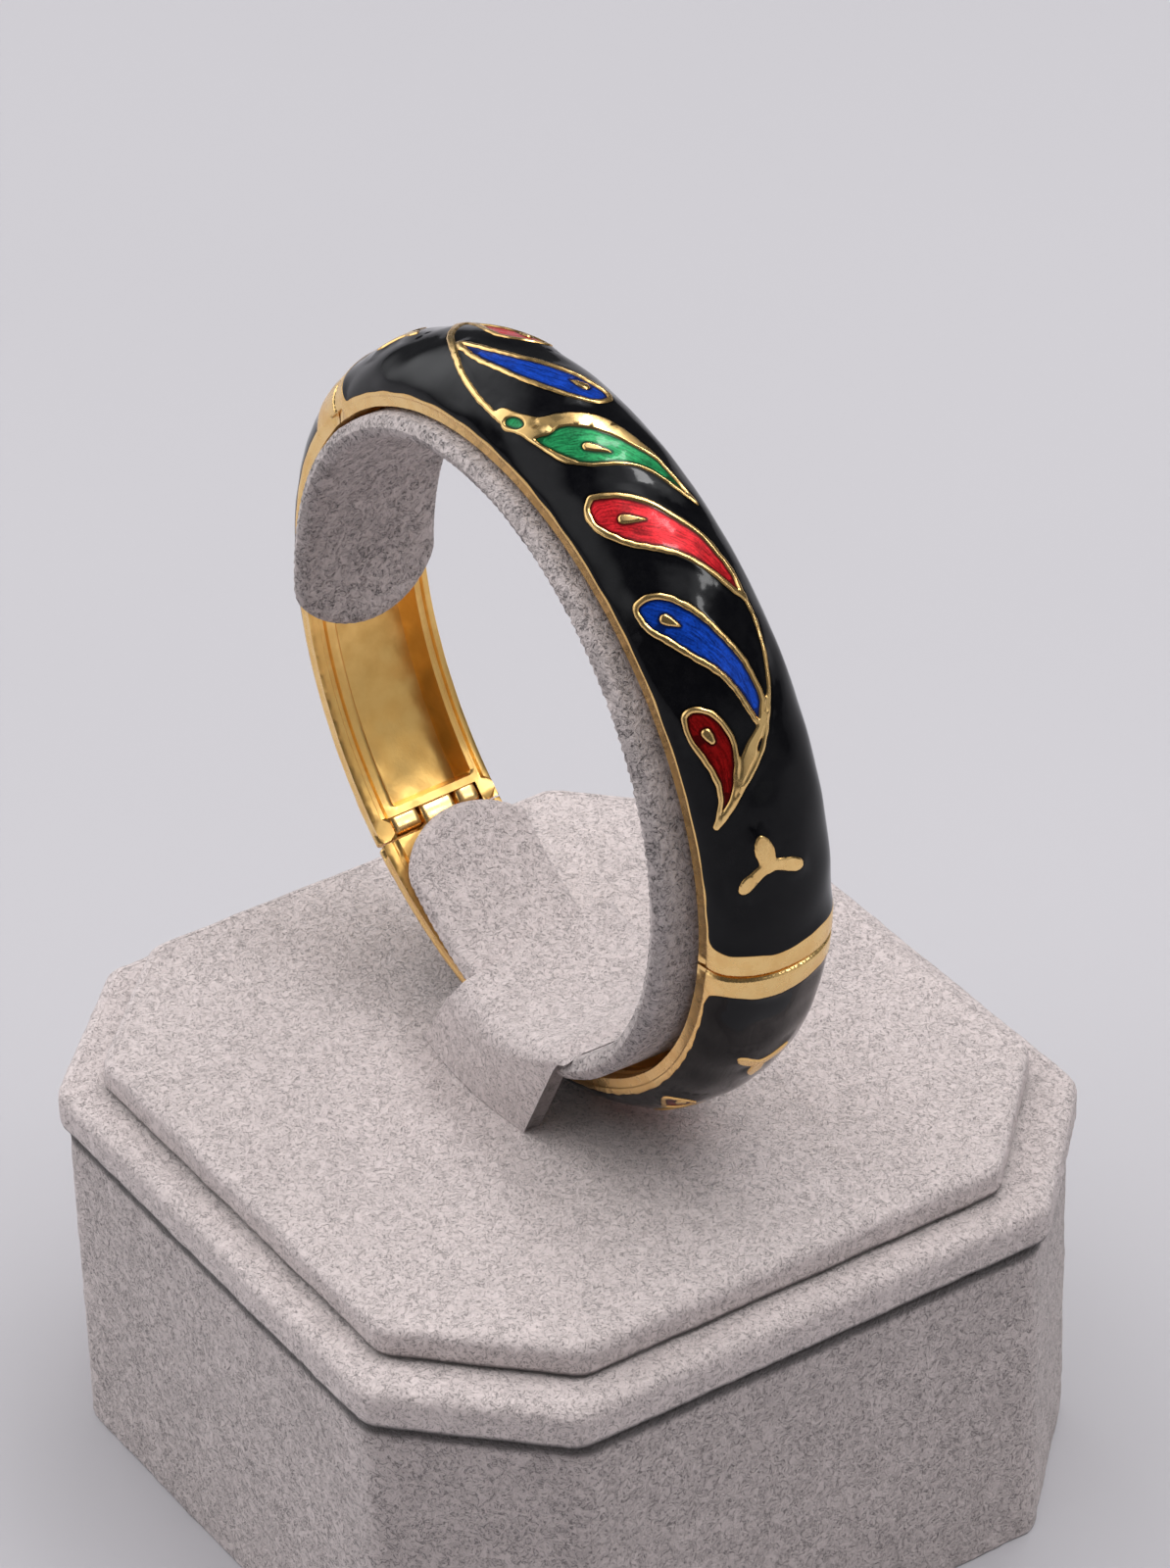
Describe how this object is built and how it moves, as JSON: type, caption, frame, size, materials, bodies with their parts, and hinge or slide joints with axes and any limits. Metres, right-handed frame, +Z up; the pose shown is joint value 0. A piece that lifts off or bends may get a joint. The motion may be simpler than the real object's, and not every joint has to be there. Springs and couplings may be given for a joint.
{
  "type": "hinged enamel bangle on display stand",
  "caption": "Hinged bangle in domed gold panels with black enamel and coloured leaves, held upright by a curved strip and strap on an octagonal suede stand.",
  "frame": {"origin": "on the floor, under the middle of the stand's ledge", "axes": "+Z up; +Y from the stand's front to its back, close to the bangle's own axis; +X to the clasp side, so the seam at the clasp faces +X"},
  "size_m": [0.074, 0.0716, 0.106],
  "materials": {
    "suede_sides": "matte nap",
    "suede_top": "matte nap",
    "suede_holder": "matte nap",
    "gold": "polished",
    "pin_metal": "satin",
    "black_enamel": "gloss",
    "red_enamel": "gloss",
    "dark_red_enamel": "gloss",
    "blue_enamel": "gloss",
    "green_enamel": "gloss"
  },
  "bodies": {
    "stand": {"stand_body": "suede_sides", "stand_ledge": "suede_sides", "stand_plate": "suede_top", "holder_ring": "suede_holder", "holder_strap": "suede_top", "lower_panel": "gold", "lower_enamel": "black_enamel", "lower_leaf_1": "dark_red_enamel", "lower_leaf_2": "blue_enamel", "lower_leaf_3": "red_enamel", "lower_leaf_4": "green_enamel", "lower_leaf_5": "blue_enamel", "back_hinge_pin": "pin_metal"},
    "back": {"back_panel": "gold", "back_enamel": "black_enamel", "back_leaf_1": "red_enamel", "back_leaf_2": "blue_enamel", "back_leaf_3": "green_enamel", "back_leaf_4": "dark_red_enamel", "front_hinge_pin": "pin_metal"},
    "front": {"front_panel": "gold", "front_enamel": "black_enamel", "front_leaf_1": "red_enamel", "front_leaf_2": "blue_enamel", "front_leaf_3": "green_enamel", "front_leaf_4": "red_enamel", "front_leaf_5": "blue_enamel", "front_leaf_6": "dark_red_enamel"}
  },
  "joints": [
    {"name": "back_hinge", "type": "hinge", "parent": "stand", "child": "back", "pos_m": [-0.02254, 0.00081, 0.04928], "axis": [0, -0.9994, -0.0349], "range_deg": [0, 15]},
    {"name": "front_hinge", "type": "hinge", "parent": "back", "child": "front", "pos_m": [-0.02357, -0.00077, 0.09447], "axis": [0, -0.9994, -0.0349], "range_deg": [0, 60]}
  ],
  "couplings": [
    {"joint": "back_hinge", "follows": "front_hinge", "ratio": 0.25}
  ]
}
